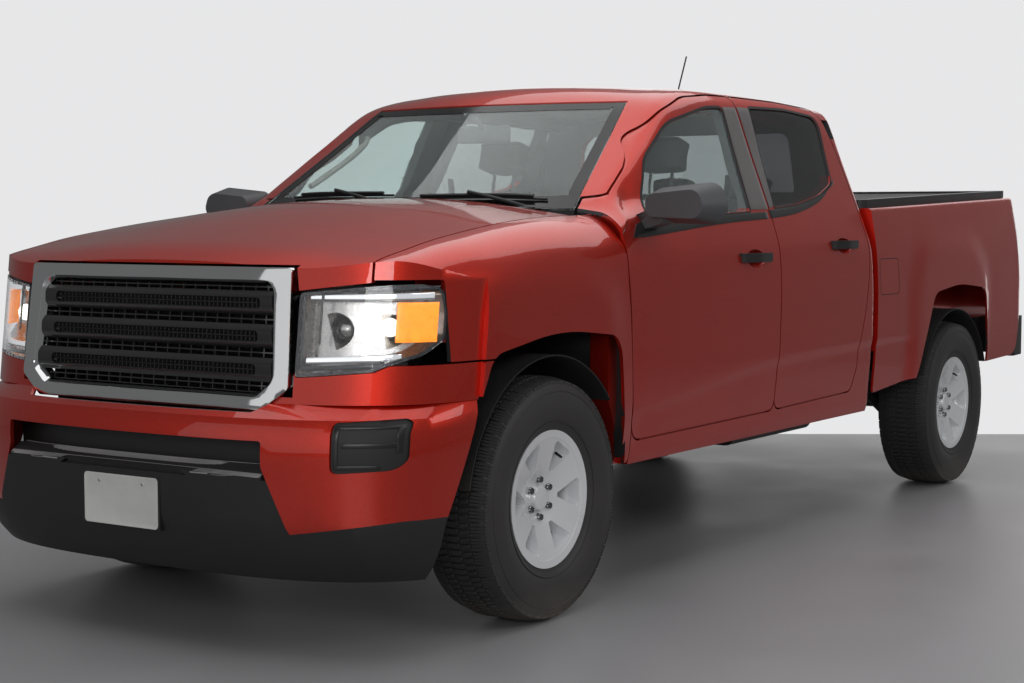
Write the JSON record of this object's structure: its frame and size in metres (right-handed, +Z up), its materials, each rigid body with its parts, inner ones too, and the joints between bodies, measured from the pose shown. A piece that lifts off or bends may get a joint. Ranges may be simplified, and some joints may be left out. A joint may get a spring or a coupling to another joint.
{
  "type": "pickup truck",
  "caption": "Full pickup truck with a crew cab, cargo bed under a hinged hard cover, opening doors, hood and tailgate, steered front wheels and a ladder frame.",
  "frame": {"origin": "on the ground, below the middle of the truck's bounding box", "axes": "+Z up, the front faces -Y, +X is the driver's side"},
  "size_m": [2.3176, 5.6985, 2.0009],
  "materials": {
    "paint": "metallic gloss",
    "clear_glass": "clear",
    "privacy_glass": "dark tint",
    "tyre": "matt",
    "alloy": "satin",
    "chrome": "bright",
    "chassis_steel": "satin",
    "engine": "cast",
    "exhaust_steel": "dull",
    "seat_cloth": "woven",
    "lamp_red": "gloss",
    "lamp_tray": "silvered",
    "floor_steel": "satin",
    "trim_grey": "grained",
    "black_plastic": "grained"
  },
  "bodies": {
    "chassis": {"body_side_left": "paint", "body_side_right": "paint", "fender_left": "paint", "fender_right": "paint", "bed_side_left": "paint", "bed_side_right": "paint", "roof": "paint", "cowl": "black_plastic", "windshield": "clear_glass", "rear_panel": "paint", "rear_window": "clear_glass", "headlamps": "lamp_tray", "headlamp_lenses": "clear_glass", "grille_surround": "chrome", "grille_insert": "black_plastic", "bumper_front": "paint", "bumper_lower": "black_plastic", "lamp_bezels": "black_plastic", "radiator_support": "chassis_steel", "bed_floor": "floor_steel", "tail_lamps": "lamp_red", "bumper_rear": "black_plastic", "frame": "chassis_steel", "floor_pan": "floor_steel", "front_suspension": "chassis_steel", "rear_axle": "chassis_steel", "powertrain": "engine", "exhaust": "exhaust_steel", "fuel_tank": "black_plastic", "spare_wheel": "tyre", "wheel_liners": "black_plastic", "dashboard": "trim_grey", "front_seats": "seat_cloth", "rear_seat": "seat_cloth", "antenna": "black_plastic"},
    "door_front_left": {"door_front_left": "paint", "glass_front_left": "clear_glass", "mirror_left": "black_plastic"},
    "door_rear_left": {"door_rear_left": "paint", "glass_rear_left": "privacy_glass"},
    "knuckle_left": {"knuckle_left": "chassis_steel"},
    "wheel_front_left": {"wheel_front_left": "alloy", "tyre_front_left": "tyre"},
    "wheel_rear_left": {"wheel_rear_left": "alloy", "tyre_rear_left": "tyre"},
    "door_front_right": {"door_front_right": "paint", "glass_front_right": "clear_glass", "mirror_right": "black_plastic"},
    "door_rear_right": {"door_rear_right": "paint", "glass_rear_right": "privacy_glass"},
    "knuckle_right": {"knuckle_right": "chassis_steel"},
    "wheel_front_right": {"wheel_front_right": "alloy", "tyre_front_right": "tyre"},
    "wheel_rear_right": {"wheel_rear_right": "alloy", "tyre_rear_right": "tyre"},
    "hood": {"hood": "paint"},
    "tailgate": {"tailgate": "paint"},
    "tonneau": {"tonneau": "black_plastic"},
    "steering_wheel": {"steering_wheel": "trim_grey"},
    "steering_rack": {"steering_linkage": "chassis_steel"}
  },
  "joints": [
    {"name": "door_front_left_hinge", "type": "hinge", "parent": "chassis", "child": "door_front_left", "pos_m": [0.922, -1.4, 0.85], "axis": [0, 0, -1], "range_deg": [0, 65]},
    {"name": "door_rear_left_hinge", "type": "hinge", "parent": "chassis", "child": "door_rear_left", "pos_m": [0.922, -0.25, 0.85], "axis": [0, 0, -1], "range_deg": [0, 65]},
    {"name": "steer_left", "type": "hinge", "parent": "chassis", "child": "knuckle_left", "pos_m": [0.7, -1.885, 0.388], "axis": [0, 0, 1], "range_deg": [-33, 33]},
    {"name": "roll_front_left", "type": "hinge", "parent": "knuckle_left", "child": "wheel_front_left", "pos_m": [0.7925, -1.885, 0.388], "axis": [1, 0, 0], "continuous": true},
    {"name": "roll_rear_left", "type": "hinge", "parent": "chassis", "child": "wheel_rear_left", "pos_m": [0.7925, 1.683, 0.388], "axis": [1, 0, 0], "continuous": true},
    {"name": "door_front_right_hinge", "type": "hinge", "parent": "chassis", "child": "door_front_right", "pos_m": [-0.922, -1.4, 0.85], "axis": [0, 0, 1], "range_deg": [0, 65]},
    {"name": "door_rear_right_hinge", "type": "hinge", "parent": "chassis", "child": "door_rear_right", "pos_m": [-0.922, -0.25, 0.85], "axis": [0, 0, 1], "range_deg": [0, 65]},
    {"name": "steer_right", "type": "hinge", "parent": "chassis", "child": "knuckle_right", "pos_m": [-0.7, -1.885, 0.388], "axis": [0, 0, 1], "range_deg": [-33, 33]},
    {"name": "roll_front_right", "type": "hinge", "parent": "knuckle_right", "child": "wheel_front_right", "pos_m": [-0.7925, -1.885, 0.388], "axis": [1, 0, 0], "continuous": true},
    {"name": "roll_rear_right", "type": "hinge", "parent": "chassis", "child": "wheel_rear_right", "pos_m": [-0.7925, 1.683, 0.388], "axis": [1, 0, 0], "continuous": true},
    {"name": "hood_lift", "type": "hinge", "parent": "chassis", "child": "hood", "pos_m": [0, -1.54, 1.3], "axis": [-1, 0, 0], "range_deg": [0, 50]},
    {"name": "tailgate_drop", "type": "hinge", "parent": "chassis", "child": "tailgate", "pos_m": [0, 2.597, 0.838], "axis": [-1, 0, 0], "range_deg": [0, 90]},
    {"name": "tonneau_lift", "type": "hinge", "parent": "chassis", "child": "tonneau", "pos_m": [0, 0.711, 1.3144], "axis": [1, 0, 0], "range_deg": [0, 35]},
    {"name": "steering_wheel_turn", "type": "hinge", "parent": "chassis", "child": "steering_wheel", "pos_m": [0.38, -0.98, 1.105], "axis": [0, -0.9135, -0.4067], "range_deg": [-500, 500]},
    {"name": "rack_slide", "type": "slide", "parent": "chassis", "child": "steering_rack", "axis": [1, 0, 0], "range_m": [-0.08, 0.08]}
  ],
  "couplings": [
    {"joint": "steer_right", "follows": "steer_left", "ratio": 1},
    {"joint": "rack_slide", "follows": "steer_left", "m_per_rad": -0.128},
    {"joint": "steering_wheel_turn", "follows": "steer_left", "ratio": -15}
  ]
}
